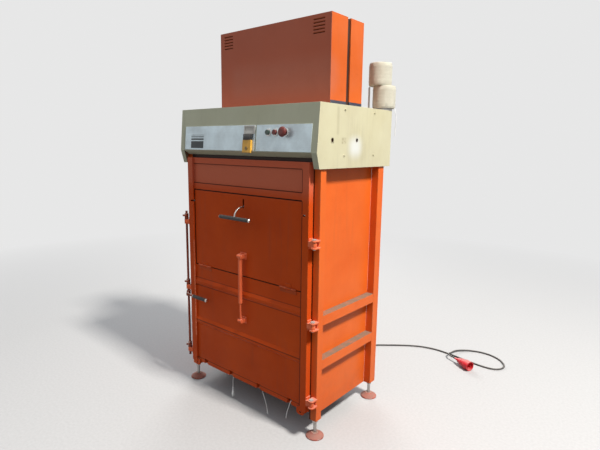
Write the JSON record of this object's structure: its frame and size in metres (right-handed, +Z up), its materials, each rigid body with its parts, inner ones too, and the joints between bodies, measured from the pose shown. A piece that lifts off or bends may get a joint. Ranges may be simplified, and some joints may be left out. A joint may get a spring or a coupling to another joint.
{
  "type": "recycling baler",
  "caption": "Upright waste press with a hinged front door, a drop-down loading hatch, a cream control head, a hydraulic ram under sheet hoods, twine spools and a mains lead.",
  "frame": {"origin": "on the floor, under the middle of the machine's box without its lead, plug and loose twine ends", "axes": "+Z up, the operator stands at -Y, +X to the operator's right"},
  "size_m": [1.7924, 2.0073, 2.5],
  "materials": {
    "orange_paint": "sprayed orange enamel, sun-faded and scuffed",
    "orange_bracket": "faded orange enamel over steel",
    "floor_paint": "paint worn off to brown steel",
    "cream_paint": "cream enamel, dusty, rubbed at the edges",
    "plate_metal": "satin anodised sheet",
    "bezel_metal": "cast, dull",
    "dark_plastic": "moulded, slightly dusty",
    "yellow_plastic": "moulded",
    "green_plastic": "moulded",
    "red_plastic": "moulded",
    "collar_metal": "plated rings",
    "bright_steel": "bright steel, lightly rusted",
    "mast_paint": "black enamel",
    "navy_rubber": "extruded strip",
    "barrel_paint": "dark grey enamel",
    "tank_paint": "grey-green enamel",
    "motor_paint": "blue-grey enamel",
    "platen_paint": "orange enamel rubbed by the waste",
    "pad_paint": "orange enamel with floor dirt",
    "spool_twine": "polyester baling twine, wound",
    "black_rubber": "mains lead sheath",
    "red_rubber": "red plug housing"
  },
  "bodies": {
    "frame": {"corner_posts": "orange_paint", "side_panels": "orange_paint", "rear_panel": "orange_paint", "wall_ribs": "orange_paint", "floor_sills": "orange_paint", "floor_plate": "floor_paint", "top_ring": "orange_paint", "crosshead": "orange_paint", "head_front": "cream_paint", "head_cap_left": "cream_paint", "head_cap_right": "cream_paint", "head_top": "cream_paint", "head_rear": "cream_paint", "control_plates": "plate_metal", "switch_bezel": "bezel_metal", "switch_body": "dark_plastic", "lock_block": "yellow_plastic", "button_collars": "collar_metal", "cover_mast": "mast_paint", "cover_seals": "navy_rubber", "front_cover": "orange_paint", "rear_cover": "orange_paint", "cylinder_barrel": "barrel_paint", "oil_tank": "tank_paint", "pump_motor": "motor_paint", "foot_studs": "bright_steel", "foot_pads": "pad_paint", "hinge_brackets": "orange_bracket", "hinge_pins": "bright_steel", "lock_keepers": "orange_bracket", "spool_stand": "bright_steel", "twine_spools": "spool_twine", "twine_end_spool": "spool_twine", "twine_end_left": "spool_twine", "twine_end_middle": "spool_twine", "twine_end_right": "spool_twine", "cord_gland": "dark_plastic", "power_cord": "black_rubber", "power_plug": "red_rubber"},
    "door": {"door_frame": "orange_paint", "door_top_panel": "orange_paint", "door_lower_panel": "orange_paint", "door_eyes": "orange_bracket", "hatch_hinges": "bright_steel", "door_bracket": "orange_bracket"},
    "hatch": {"hatch_panel": "orange_paint", "hatch_bracket": "orange_bracket"},
    "latch": {"latch_shaft": "bright_steel", "latch_lever": "bright_steel", "latch_grip": "dark_plastic"},
    "lock": {"lock_shaft": "bright_steel", "lock_grip": "dark_plastic"},
    "stay_upper": {"stay_tube": "orange_bracket"},
    "stay_lower": {"stay_rod": "orange_bracket"},
    "press": {"ram": "bright_steel", "platen": "platen_paint"},
    "start_key": {"start_button": "green_plastic"},
    "stop_key": {"stop_button": "red_plastic"},
    "mushroom_key": {"stop_mushroom": "red_plastic"},
    "key_core": {"lock_core": "bright_steel"}
  },
  "joints": [
    {"name": "door_swing", "type": "hinge", "parent": "frame", "child": "door", "pos_m": [0.58, -0.375, 0.727], "axis": [0, 0, 1], "range_deg": [0, 115]},
    {"name": "hatch_tilt", "type": "hinge", "parent": "door", "child": "hatch", "pos_m": [0, -0.373, 0.909], "axis": [1, 0, 0], "range_deg": [0, 50]},
    {"name": "latch_turn", "type": "hinge", "parent": "hatch", "child": "latch", "pos_m": [0, -0.355, 1.361], "axis": [1, 0, 0], "range_deg": [-40, 0]},
    {"name": "stay_tube_swing", "type": "hinge", "parent": "hatch", "child": "stay_upper", "pos_m": [0, -0.399, 1.046], "axis": [1, 0, 0], "range_deg": [-35.5, 0]},
    {"name": "stay_rod_swing", "type": "hinge", "parent": "door", "child": "stay_lower", "pos_m": [0, -0.399, 0.615], "axis": [1, 0, 0], "range_deg": [0, 15.5]},
    {"name": "lock_turn", "type": "hinge", "parent": "door", "child": "lock", "pos_m": [-0.58, -0.375, 0.68], "axis": [0, 0, 1], "range_deg": [-100, 0]},
    {"name": "platen_slide", "type": "slide", "parent": "frame", "child": "press", "axis": [0, 0, -1], "range_m": [0, 0.68]},
    {"name": "start_press", "type": "slide", "parent": "frame", "child": "start_key", "axis": [0, 0.9964, -0.0849], "range_m": [0, 0.005], "stiffness_N_per_m": 600},
    {"name": "stop_press", "type": "slide", "parent": "frame", "child": "stop_key", "axis": [0, 0.9964, -0.0849], "range_m": [0, 0.005], "stiffness_N_per_m": 600},
    {"name": "mushroom_press", "type": "slide", "parent": "frame", "child": "mushroom_key", "axis": [0, 0.9964, -0.0849], "range_m": [0, 0.005], "stiffness_N_per_m": 600},
    {"name": "key_turn", "type": "hinge", "parent": "frame", "child": "key_core", "pos_m": [0.072, -0.40841, 1.72738], "axis": [0, -0.9964, 0.0849], "range_deg": [-90, 0]}
  ],
  "couplings": [
    {"joint": "stay_rod_swing", "follows": "hatch_tilt", "ratio": 0.301},
    {"joint": "stay_tube_swing", "follows": "hatch_tilt", "ratio": -0.699}
  ]
}
